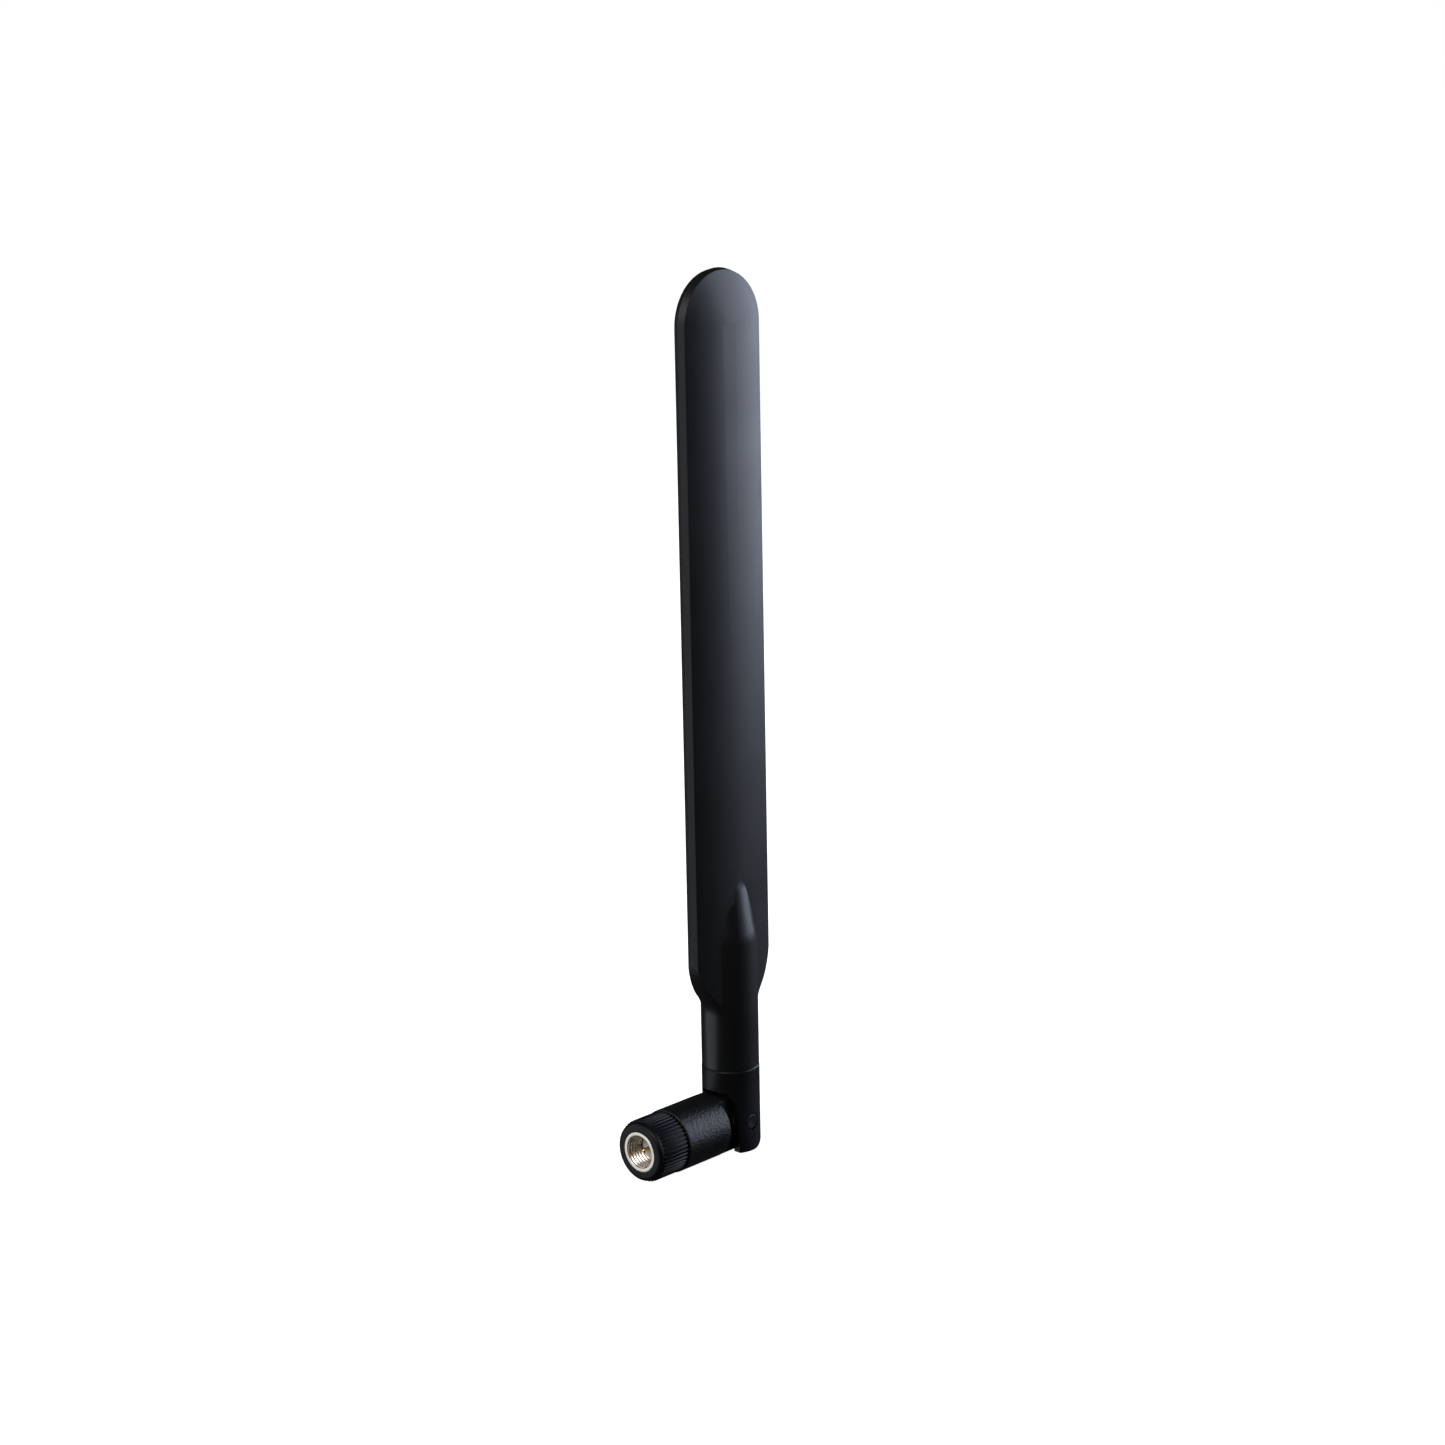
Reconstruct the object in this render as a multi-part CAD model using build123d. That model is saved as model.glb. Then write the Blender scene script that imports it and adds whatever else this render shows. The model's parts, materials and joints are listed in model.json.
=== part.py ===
from build123d import *
import math
import os

# Hinged paddle antenna with an SMA plug, in millimetres, +Z up.
# The origin is the centre of the plug's mating plane, on the axis of the arm. The plug faces -X.
# The tilt pins lie along Y, and the stem and blade stand along +Z, straight above the pins.

# ---- SMA plug ----
thread_radius = 3.175
thread_reach = 2.0            # how far the thread runs behind the mating plane
nut_reach = 3.2               # nut face, ahead of the mating plane
nut_rear = 3.7
nut_flats = 8.0
nut_ring_length = 0.45        # round face ahead of the hexagon
nut_relief_radius = 3.26
nut_entrance = 0.25           # chamfer at the mouth of the thread
contact_radius = 0.46
contact_reach = 2.45
contact_tip_radius = 0.18
contact_tip_length = 0.38
contact_barrel_radius = 0.63
contact_rear = 8.2
contact_cavity_radius = 1.1
contact_cavity_gap = 0.3
solder_cup_depth = 1.2
insulator_radius = 2.05
insulator_rear = 7.0
outer_contact_radius = 2.29
flange_radius = 3.18
flange_front = 2.6
gasket_thickness = 0.6
gasket_radius = 3.02
ring_groove_radius = 2.7
ring_clearance = 0.03
ring_radius = 3.45
ring_front = 3.0
ring_thickness = 0.3
ring_gap = 1.2
press_radius = 3.7
press_front = 4.5
press_rear = 9.5
crimp_stem_radius = 0.8
crimp_stem_bore = 0.5
crimp_stem_rear = 12.5

# ---- knurled collar ----
collar_radius = nut_flats / 2 + 2.1
collar_rear = 4.05
collar_nose_radius = collar_radius - 0.35
collar_nose_length = 1.1
collar_nose_round = 0.35
collar_lip_radius = nut_flats / 2 - 0.05
collar_lip_front = 3.6
knurl_count = 46
knurl_depth = 0.34
knurl_width = 0.56

# ---- coaxial cable ----
jacket_radius = 0.9
braid_radius = 0.66
dielectric_radius = 0.43
conductor_radius = 0.155
braid_flare_radius = crimp_stem_radius + 0.2
braid_flare_length = 0.2
jacket_front = 13.0
ferrule_wall = 0.4
ferrule_front = 9.8
ferrule_rear = 13.4
sleeve_wall = 0.25
sleeve_front = 10.2
sleeve_neck_end = 15.3
hinge_bend_radius = 5.4
hinge_bend_lead = 1.0         # straight run before the bend

# ---- arm ----
hinge_reach = 22.55           # mating plane to tilt pins
barrel_radius = collar_radius + 0.15
barrel_front = 4.35
barrel_shoulder = 6.7         # tilt pins to the barrel's rear face
barrel_edge = 0.3
cable_chamber_radius = 2.2
cable_chamber_rear = hinge_reach - barrel_shoulder - 0.65
cable_bore_radius = 1.4
tongue_half_width = 2.95
tongue_inset = 0.05           # tongue's crown below the barrel's
neck_end = 3.9                # tilt pins to the end of the full-height neck
eye_radius = 4.6
channel_floor = 1.6
channel_start = 5.6           # tilt pins to the start of the open channel

# ---- knuckle ----
stem_radius = 5.6
fork_radius = stem_radius + 0.05
fork_top = 11.0               # tilt pins to the seam under the stem
fork_edge = 0.3
leg_reach = 5.8
leg_face = 2.95               # relief face of the legs on the arm's side
arch_radius = 5.1
arch_start = 2.2
swing_gap = 0.25
slot_gap = 0.4                # each side, filled by a friction washer
slot_rear_top = 0.6           # slot's opening at the rear, above the tilt pins
wall = 1.3                    # shell wall, here because the spigot fits inside it
spigot_radius = stem_radius - wall - 0.15
spigot_length = 6.0
spigot_groove_depth = 0.8
spigot_groove_start = 2.3
spigot_groove_width = 1.4
key_width = 1.2
key_depth = 0.8

# ---- tilt pins and washers ----
pin_radius = 1.0
pin_head_radius = 1.55
pin_head_thickness = 0.68
pin_head_proud = 0.17         # below the knuckle's crown
pin_inner_end = 1.45
pin_clearance = 0.04
pin_head_chamfer = 0.15
washer_radius = 2.6
washer_gap = 0.02

# ---- blade and stem ----
blade_half_width = 10.05
seam_half_width = 10.4
front_edge = 1.4              # seam to the front face at the blade's sides
rear_edge = 1.15
front_crown = 3.3             # seam to the front face on the centre line
rear_crown = 3.05
blade_top = 165.15
stem_seam = 0.08              # gap between knuckle and stem
shoulder_start = 22.0
shoulder_radius = 15.0
neck_radius = 6.0
rib_start = 36.4
rib_end = 50.6
rib_end_radius = 3.0
fit_gap = 0.1

# ---- board ----
board_half_width = 6.5
board_thickness = 0.6
board_front = 0.1             # behind the shells' seam
board_rear = board_front + board_thickness
board_bottom = rib_end + 1.8
board_top = blade_top - 7.15
board_length = board_top - board_bottom
copper = 0.07
feed_height = board_bottom + 0.438 * board_length
peg_heights = (board_bottom + 10.0, feed_height + 10.0, board_top - 7.0)
peg_radius = 0.75
peg_reach = 0.3               # peg past the board's copper side
radiator_inset = 1.2          # board's edge to the copper
radiator_end = 3.0            # board's top edge to the copper
taper_length = 7.0
slot_count = 5
slot_pitch = 4.0
slot_lead = 5.0               # copper's top edge to the first slot
slot_width = 1.0
slot_bridge = 3.0             # copper left at one end of each slot
feed_gap = 2.4
feed_tab = 1.0                # half width of the copper at the feed
patch_width = 9.0
patch_length = 0.27 * board_length
patch_slot = 1.2
patch_drop = 6.5              # below the middle of the upper radiator
ground_start = 5.0            # board's bottom edge to the lower radiator
ground_gap = 0.7              # cable to the lower radiator
pad_half_width = 4.0
pad_gap = 0.35                # left between a pad and the shell
pad_length = 9.0
rear_pads = (0.15, 0.86)      # pads' lower ends, as shares of the board's length
front_pads = (0.57, 0.88)
cable_offset = 0.8            # cable's axis in front of the blade's middle
cable_bend_radius = 60.0
cable_bend_drop = 3.0         # first bend, below the middle of the rib
cable_bend_run = 10.0
dielectric_end = 0.4          # past the feed gap's middle
hinge_cable_top = fork_top - 1.6
stem_sleeve_length = 15.0
solder_width = 1.3
solder_length = 1.8
braid_bar = 2.4               # height of the copper bar under the braid joint
core_solder_width = 0.45
core_solder_proud = 0.3

bite = 0.01                   # overlap that joins two solids
past = 1.0                    # how far a cutter runs past the part


def block(x0, x1, y0, y1, z0, z1):
    centre = Pos((x0 + x1) / 2, (y0 + y1) / 2, (z0 + z1) / 2)
    return centre * Box(x1 - x0, y1 - y0, z1 - z0)


def rod_x(radius, x0, x1):
    return Pos((x0 + x1) / 2, 0, 0) * Rot(0, 90, 0) * Cylinder(radius, x1 - x0)


def rod_y(radius, y0, y1, x=0.0, z=0.0):
    return Pos(x, (y0 + y1) / 2, z) * Rot(90, 0, 0) * Cylinder(radius, y1 - y0)


def rod_z(radius, z0, z1):
    return Pos(0, 0, (z0 + z1) / 2) * Cylinder(radius, z1 - z0)


def cone_x(radius0, radius1, x0, x1):
    return Pos((x0 + x1) / 2, 0, 0) * Rot(0, 90, 0) * Cone(radius0, radius1, x1 - x0)


def tube_x(inner, outer, x0, x1):
    return rod_x(outer, x0, x1) - rod_x(inner, x0 - 1, x1 + 1)


def tube_along(path, inner, outer):
    """A round tube, or a rod when inner is 0, along a path."""
    section = Circle(outer)
    if inner > 0:
        section = section - Circle(inner)
    start = Plane(origin=path @ 0, z_dir=path % 0)
    return sweep(start * section, path=path)


def save(name, shape):
    export_step(shape, os.path.join("parts", name + ".step"))


# ---- plug pieces, about the X axis ----
def nut_form():
    """Outer form of the coupling nut: a hexagon behind a round face."""
    hexagon_front = nut_ring_length - nut_reach
    hexagon = RegularPolygon(nut_flats / 2, 6, major_radius=False)
    body = extrude(Plane.YZ.offset(hexagon_front) * hexagon, amount=nut_rear - hexagon_front)
    return body + rod_x(nut_flats / 2, -nut_reach, hexagon_front + bite)


def make_coupling_nut():
    nut = nut_form() - rod_x(thread_radius, -nut_reach - past, thread_reach)
    nut -= cone_x(thread_radius + nut_entrance, thread_radius, -nut_reach, -nut_reach + nut_entrance)
    nut -= rod_x(nut_relief_radius, thread_reach, nut_rear + past)
    groove_radius = ring_radius + fit_gap
    nut -= rod_x(groove_radius, ring_front - fit_gap / 2, ring_front + ring_thickness + fit_gap / 2)
    return nut


def make_knurled_collar():
    nose_end = collar_nose_length - nut_reach
    nose = rod_x(collar_nose_radius, -nut_reach, nose_end + bite)
    front_rim = nose.edges().filter_by(GeomType.CIRCLE).sort_by(Axis.X)[0]
    nose = fillet(front_rim, collar_nose_round)
    collar = nose + rod_x(collar_radius, nose_end, collar_rear)
    root = collar_radius - knurl_depth
    spread = knurl_width * (knurl_depth + past) / knurl_depth / 2
    groove = Plane.YZ.offset(nose_end - past) * Polygon(
        (root, 0), (collar_radius + past, spread), (collar_radius + past, -spread), align=None)
    cutter = extrude(groove, amount=collar_rear - nose_end + 2 * past)
    step = 360.0 / knurl_count
    collar -= [Rot(step * i, 0, 0) * cutter for i in range(knurl_count)]
    collar -= nut_form()
    return collar - rod_x(collar_lip_radius, collar_lip_front, collar_rear + past)


def make_connector_body():
    body = rod_x(outer_contact_radius, 0, flange_front + bite)
    body += rod_x(flange_radius, flange_front, press_front + bite)
    body += rod_x(press_radius, press_front, press_rear)
    body += rod_x(crimp_stem_radius, press_rear - bite, crimp_stem_rear)
    body -= tube_x(ring_groove_radius, flange_radius + past, ring_front - fit_gap / 2,
                   ring_front + ring_thickness + fit_gap / 2)
    body -= rod_x(insulator_radius, -past, insulator_rear)
    body -= rod_x(contact_cavity_radius, insulator_rear - bite, contact_rear + contact_cavity_gap)
    return body - rod_x(crimp_stem_bore, contact_rear, crimp_stem_rear + past)


def make_ptfe_insulator():
    return tube_x(contact_barrel_radius, insulator_radius, 0, insulator_rear)


def make_centre_contact():
    shoulder = contact_tip_length - contact_reach
    contact = cone_x(contact_tip_radius, contact_radius, -contact_reach, shoulder)
    contact += rod_x(contact_radius, shoulder, bite)
    contact += rod_x(contact_barrel_radius, 0, contact_rear)
    return contact - rod_x(conductor_radius, contact_rear - solder_cup_depth, contact_rear + past)


def make_sealing_gasket():
    return tube_x(outer_contact_radius, gasket_radius, flange_front - gasket_thickness, flange_front)


def make_retaining_ring():
    inner = ring_groove_radius + ring_clearance
    ring = tube_x(inner, ring_radius, ring_front, ring_front + ring_thickness)
    return ring - block(ring_front - past, ring_front + ring_thickness + past,
                        -ring_gap / 2, ring_gap / 2, 0, ring_radius + past)


def make_arm_cable():
    """Braid, dielectric, conductor and jacket between the crimp and the hinge."""
    end = hinge_reach - hinge_bend_radius - hinge_bend_lead
    flare_rear = crimp_stem_rear + braid_flare_length
    braid = tube_x(crimp_stem_radius, braid_flare_radius, ferrule_front, crimp_stem_rear + bite)
    braid += tube_x(dielectric_radius, braid_flare_radius, crimp_stem_rear, flare_rear)
    braid += tube_x(dielectric_radius, braid_radius, flare_rear - bite, end)
    return {
        "arm_jacket": tube_x(braid_radius, jacket_radius, jacket_front, end),
        "arm_braid": braid,
        "arm_dielectric": tube_x(conductor_radius, dielectric_radius, contact_rear + fit_gap, end),
        "arm_conductor": rod_x(conductor_radius, contact_rear - solder_cup_depth, end),
    }


def make_crimp_ferrule():
    return tube_x(braid_flare_radius, braid_flare_radius + ferrule_wall, ferrule_front, ferrule_rear)


def make_ferrule_sleeve():
    over = braid_flare_radius + ferrule_wall
    step_rear = ferrule_rear + sleeve_wall
    sleeve = tube_x(over, over + sleeve_wall, sleeve_front, ferrule_rear)
    sleeve += tube_x(jacket_radius, over + sleeve_wall, ferrule_rear, step_rear)
    neck = tube_x(jacket_radius, jacket_radius + sleeve_wall, step_rear - bite, sleeve_neck_end)
    return sleeve + neck


# ---- arm ----
def tongue_outline(grow):
    """Side outline of the tongue about the tilt pins, from inside the barrel to the round eye."""
    front = -barrel_shoulder - past
    rear = grow - neck_end
    neck = Pos((front + rear) / 2, 0) * Rectangle(rear - front, 2 * (barrel_radius + grow))
    return make_hull(neck.edges() + Circle(eye_radius + grow).edges())


def make_arm_barrel():
    rear = hinge_reach - barrel_shoulder
    barrel = rod_x(barrel_radius, barrel_front, rear)
    barrel = fillet(barrel.edges().filter_by(GeomType.CIRCLE), barrel_edge)
    tongue = extrude(Plane.XZ * tongue_outline(0), amount=tongue_half_width, both=True)
    tongue = Pos(hinge_reach, 0, 0) * tongue
    tongue &= rod_x(barrel_radius - tongue_inset, rear - past, hinge_reach + eye_radius + past)
    arm = barrel + tongue
    arm -= rod_x(press_radius, barrel_front - past, press_rear + fit_gap)
    arm -= rod_x(cable_chamber_radius, press_rear, cable_chamber_rear)
    arm -= rod_x(cable_bore_radius, cable_chamber_rear - bite, hinge_reach - channel_start + past)
    arm -= block(hinge_reach - channel_start, hinge_reach + eye_radius + past,
                 -cable_bore_radius, cable_bore_radius, -channel_floor, barrel_radius + past)
    pin_hole = pin_radius + pin_clearance
    return arm - rod_y(pin_hole, -barrel_radius, barrel_radius, x=hinge_reach)


def make_front_washer():
    outer_face = tongue_half_width + slot_gap - washer_gap
    washer = rod_y(washer_radius, -outer_face, -tongue_half_width - washer_gap)
    return washer - rod_y(pin_radius + pin_clearance, -fork_radius, 0)


# ---- knuckle, about the tilt pins ----
def make_swivel_fork():
    slot_half = tongue_half_width + slot_gap
    reach = fork_radius + past
    fork = rod_z(fork_radius, -leg_reach, fork_top)
    fork = chamfer(fork.edges().filter_by(GeomType.CIRCLE).sort_by(Axis.Z)[-1], fork_edge)
    fork -= block(-reach, -leg_face, -reach, reach, -leg_reach - past, arch_start)
    fork -= rod_y(arch_radius, -reach, reach, x=-leg_face - arch_radius, z=arch_start)
    swept = rod_y(barrel_shoulder - swing_gap, -reach, reach)
    rounded = rod_y(leg_reach, -reach, reach)
    square = block(-reach, 0, -reach, reach, -leg_reach, 0) & swept
    fork &= block(-reach, reach, -reach, reach, 0, fork_top) + rounded + square
    neck_sweep = math.hypot(neck_end, barrel_radius) + swing_gap
    arm_side = rod_y(neck_sweep, -slot_half, slot_half)
    arm_side &= block(-neck_sweep, 0, -slot_half, slot_half, -neck_sweep, neck_sweep)
    fork -= arm_side
    fork -= extrude(Plane.XZ * tongue_outline(swing_gap), amount=slot_half, both=True)
    fork -= block(-bite, reach, -slot_half, slot_half, -leg_reach - past, slot_rear_top)
    head_seat = fork_radius - pin_head_proud - pin_head_thickness
    for side in (-1, 1):
        y0, y1 = sorted((side * tongue_half_width, side * reach))
        fork -= rod_y(pin_radius, y0, y1)
        y0, y1 = sorted((side * head_seat, side * reach))
        fork -= rod_y(pin_head_radius + fit_gap, y0, y1)
    spigot_top = fork_top + spigot_length
    spigot = rod_z(spigot_radius, fork_top - past, spigot_top)
    groove_low = fork_top + spigot_groove_start
    groove_high = groove_low + spigot_groove_width
    groove = rod_z(spigot_radius + past, groove_low, groove_high)
    spigot -= groove - rod_z(spigot_radius - spigot_groove_depth, groove_low, groove_high)
    spigot -= block(-key_width / 2, key_width / 2, spigot_radius - key_depth, spigot_radius + past,
                    groove_high, spigot_top + past)
    return fork + spigot - rod_z(cable_bore_radius, 0, spigot_top + past)


def make_front_pin():
    head_top = fork_radius - pin_head_proud
    head_seat = head_top - pin_head_thickness
    head = rod_y(pin_head_radius, -head_top, -head_seat)
    head = chamfer(head.edges().filter_by(GeomType.CIRCLE).sort_by(Axis.Y)[0], pin_head_chamfer)
    return head + rod_y(pin_radius, -head_seat - bite, -pin_inner_end)


# ---- blade and stem, about the stem's axis ----
def face_radius(edge, crown):
    """Radius of the face whose height falls from crown to edge over the blade's half width."""
    sag = crown - edge
    return (blade_half_width ** 2 + sag ** 2) / (2 * sag)


def blade_section(inset):
    front_radius = face_radius(front_edge, front_crown)
    rear_radius = face_radius(rear_edge, rear_crown)
    front = Pos(0, front_radius - front_crown) * Circle(front_radius - inset)
    rear = Pos(0, rear_crown - rear_radius) * Circle(rear_radius - inset)
    side = blade_half_width - inset
    seam = seam_half_width - inset
    sides = Polygon((-side, -front_edge), (-side, -front_crown), (side, -front_crown), (side, -front_edge),
                    (seam, 0), (side, rear_edge), (side, rear_crown), (-side, rear_crown),
                    (-side, rear_edge), (-seam, 0), align=None)
    return front & rear & sides


def shoulder_profile(inset, top):
    """Half outline from the stem up to the blade, to be turned about the stem's axis."""
    low = (stem_radius + neck_radius, shoulder_start)
    span = neck_radius + shoulder_radius
    run = span - (seam_half_width - stem_radius)
    rise = math.sqrt(span ** 2 - run ** 2)
    high = (low[0] - run, low[1] + rise)
    turn = math.atan2(rise, run)

    def point(centre, radius, angle):
        return (centre[0] + radius * math.cos(angle), centre[1] + radius * math.sin(angle))

    hollow = neck_radius + inset
    bulge = shoulder_radius - inset
    foot = point(low, hollow, math.pi)
    meet = point(low, hollow, math.pi - turn)
    crest = point(high, bulge, 0)
    lower_arc = ThreePointArc(foot, point(low, hollow, math.pi - turn / 2), meet)
    upper_arc = ThreePointArc(meet, point(high, bulge, -turn / 2), crest)
    closing = Polyline(crest, (crest[0], top), (0, top), (0, foot[1]), foot)
    return Plane.XZ * make_face(lower_arc + upper_arc + closing)


def blade_form(inset):
    """Blade, shoulder, rib and stem as one solid, drawn in by an even inset."""
    dome_height = blade_top - seam_half_width
    section = blade_section(inset)
    prism = extrude(Plane.XY.offset(shoulder_start) * section, amount=dome_height - shoulder_start)
    prism &= revolve(shoulder_profile(inset, dome_height), Axis.Z, 360)
    half = section & (Pos(seam_half_width, 0) * Rectangle(2 * seam_half_width, 4 * front_crown))
    dome_axis = Axis((0, 0, dome_height), (0, -1, 0))
    dome = revolve(Plane.XY.offset(dome_height) * half, dome_axis, 180)
    stem = rod_z(stem_radius - inset, fork_top + stem_seam, rib_start)
    rib_length = rib_end - rib_start
    rib = Pos(0, 0, rib_start + rib_length / 2) * Cone(
        stem_radius - inset, rib_end_radius - inset, rib_length)
    return prism + dome + stem + rib


def make_shells():
    shell = blade_form(0) - blade_form(wall)
    groove_low = fork_top + spigot_groove_start + fit_gap
    groove_high = groove_low + spigot_groove_width - 2 * fit_gap
    collar = rod_z(stem_radius - wall / 2, groove_low, groove_high)
    collar_bore = spigot_radius - spigot_groove_depth + fit_gap
    shell += collar - rod_z(collar_bore, groove_low - past, groove_high + past)
    everywhere = 2 * seam_half_width
    front = shell & block(-everywhere, everywhere, -everywhere, 0, 0, blade_top + past)
    rear = shell & block(-everywhere, everywhere, 0, everywhere, 0, blade_top + past)
    key_half = key_width / 2 - fit_gap
    rear += block(-key_half, key_half, spigot_radius - key_depth + fit_gap, stem_radius - wall / 2,
                  groove_high + 2 * fit_gap, fork_top + spigot_length)
    peg_end = board_front - peg_reach
    outer_limit = blade_form(wall / 2)
    for height in peg_heights:
        for side in (-1, 1):
            peg = rod_y(peg_radius, peg_end, rear_crown, x=side * board_half_width, z=height)
            rear += peg & outer_limit
    return front, rear


def make_board():
    board = block(-board_half_width, board_half_width, board_front, board_rear, board_bottom, board_top)
    for height in peg_heights:
        for side in (-1, 1):
            board -= rod_y(peg_radius + fit_gap, -past, past, x=side * board_half_width, z=height)
    return board


def copper_sheet(outline, side):
    """A thin copper pattern on the front (-1) or rear (1) of the board."""
    face = board_front if side < 0 else board_rear
    y0, y1 = sorted((face, face + side * copper))
    return extrude(Plane.XZ.offset(-y1) * outline, amount=y1 - y0)


def make_upper_radiator():
    half = board_half_width - radiator_inset
    low = feed_height + feed_gap / 2
    high = board_top - radiator_end
    outline = Polygon((-feed_tab, low), (feed_tab, low), (half, low + taper_length), (half, high),
                      (-half, high), (-half, low + taper_length), align=None)
    slot = Rectangle(2 * half - slot_bridge, slot_width)
    for i in range(slot_count):
        side = 1 if i % 2 else -1
        outline -= Pos(side * slot_bridge / 2, high - slot_lead - slot_pitch * i) * slot
    return copper_sheet(outline, -1)


def make_lower_radiator():
    half = board_half_width - radiator_inset
    inner = jacket_radius + ground_gap
    low = board_bottom + ground_start
    high = feed_height - feed_gap / 2
    outline = Pos(0, high - braid_bar / 2) * Rectangle(2 * half, braid_bar)
    for side in (-1, 1):
        outline += Pos(side * (half + inner) / 2, (low + high) / 2) * Rectangle(half - inner, high - low)
    return copper_sheet(outline, -1)


def make_rear_patch():
    centre = (feed_height + board_top) / 2 - patch_drop
    patch = Pos(0, centre) * Rectangle(patch_width, patch_length)
    patch -= Pos(0, centre - patch_slot) * Rectangle(patch_slot, patch_length)
    return copper_sheet(patch, 1)


def make_board_pads():
    """Four foam pads, two on each side of the board."""
    rear_room = rear_crown - wall - pad_gap
    front_room = front_crown - wall - pad_gap
    half = pad_half_width
    pads = []
    for share in rear_pads:
        low = board_bottom + share * board_length
        pads.append(block(-half, half, board_rear, rear_room, low, low + pad_length))
    for share in front_pads:
        low = board_bottom + share * board_length
        pads.append(block(-half, half, -front_room, board_front - copper, low, low + pad_length))
    return Compound(children=pads)


def stem_path(top):
    straight_end = (rib_start + rib_end) / 2 - cable_bend_drop
    points = [(0, 0, hinge_cable_top), (0, 0, straight_end),
              (0, -cable_offset, straight_end + cable_bend_run), (0, -cable_offset, top)]
    return FilletPolyline(*points, radius=cable_bend_radius)


def make_stem_cable():
    braid_top = feed_height - feed_gap / 2
    jacket_top = braid_top - braid_bar
    dielectric_top = feed_height + dielectric_end
    core_top = feed_height + feed_gap
    return {
        "stem_jacket": tube_along(stem_path(jacket_top), braid_radius, jacket_radius),
        "stem_braid": tube_along(stem_path(braid_top), dielectric_radius, braid_radius),
        "stem_dielectric": tube_along(stem_path(dielectric_top), conductor_radius, dielectric_radius),
        "stem_conductor": tube_along(stem_path(core_top), 0, conductor_radius),
    }


def make_feed_solder():
    """One joint at the braid and one at the conductor."""
    face = board_front - copper
    half = solder_length / 2
    braid_height = feed_height - feed_gap / 2 - half - fit_gap
    braid_joint = block(-solder_width, solder_width, -cable_offset, face,
                        braid_height - half, braid_height + half)
    braid_joint -= Pos(0, -cable_offset, braid_height) * Cylinder(braid_radius, 2 * solder_length)
    core_high = feed_height + feed_gap - fit_gap
    core_low = core_high - solder_length / 2
    core_joint = block(-core_solder_width, core_solder_width, -cable_offset - core_solder_proud, face,
                       core_low, core_high)
    core_joint -= Pos(0, -cable_offset, core_low) * Cylinder(conductor_radius, 2 * solder_length)
    return Compound(children=[braid_joint, core_joint])


def make_stem_sleeve():
    low = fork_top - past
    high = low + stem_sleeve_length
    return rod_z(jacket_radius + sleeve_wall, low, high) - rod_z(jacket_radius, low - past, high + past)


def make_hinge_cable():
    start = (-hinge_bend_radius - hinge_bend_lead, 0, 0)
    path = FilletPolyline(start, (0, 0, 0), (0, 0, hinge_cable_top), radius=hinge_bend_radius)
    return tube_along(path, 0, jacket_radius)


os.makedirs("parts", exist_ok=True)
at_hinge = Pos(hinge_reach, 0, 0)

save("coupling_nut", make_coupling_nut())
save("knurled_collar", make_knurled_collar())

save("connector_body", make_connector_body())
save("ptfe_insulator", make_ptfe_insulator())
save("centre_contact", make_centre_contact())
save("sealing_gasket", make_sealing_gasket())
save("retaining_ring", make_retaining_ring())
save("crimp_ferrule", make_crimp_ferrule())
save("ferrule_sleeve", make_ferrule_sleeve())
for name, shape in make_arm_cable().items():
    save(name, shape)
save("arm_barrel", make_arm_barrel())

front_washer = make_front_washer()
save("friction_washer_front", at_hinge * front_washer)
save("friction_washer_rear", at_hinge * mirror(front_washer, about=Plane.XZ))
front_pin = make_front_pin()
save("hinge_pin_front", at_hinge * front_pin)
save("hinge_pin_rear", at_hinge * mirror(front_pin, about=Plane.XZ))

save("swivel_fork", at_hinge * make_swivel_fork())
front_shell, rear_shell = make_shells()
save("front_shell", at_hinge * front_shell)
save("rear_shell", at_hinge * rear_shell)
save("antenna_board", at_hinge * make_board())
save("upper_radiator", at_hinge * make_upper_radiator())
save("lower_radiator", at_hinge * make_lower_radiator())
save("rear_patch", at_hinge * make_rear_patch())
save("board_pads", at_hinge * make_board_pads())
save("feed_solder", at_hinge * make_feed_solder())
save("stem_sleeve", at_hinge * make_stem_sleeve())
save("hinge_cable", at_hinge * make_hinge_cable())
for name, shape in make_stem_cable().items():
    save(name, at_hinge * shape)
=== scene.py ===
import json
import math
import bmesh
import bpy
from mathutils import Matrix, Vector


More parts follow.
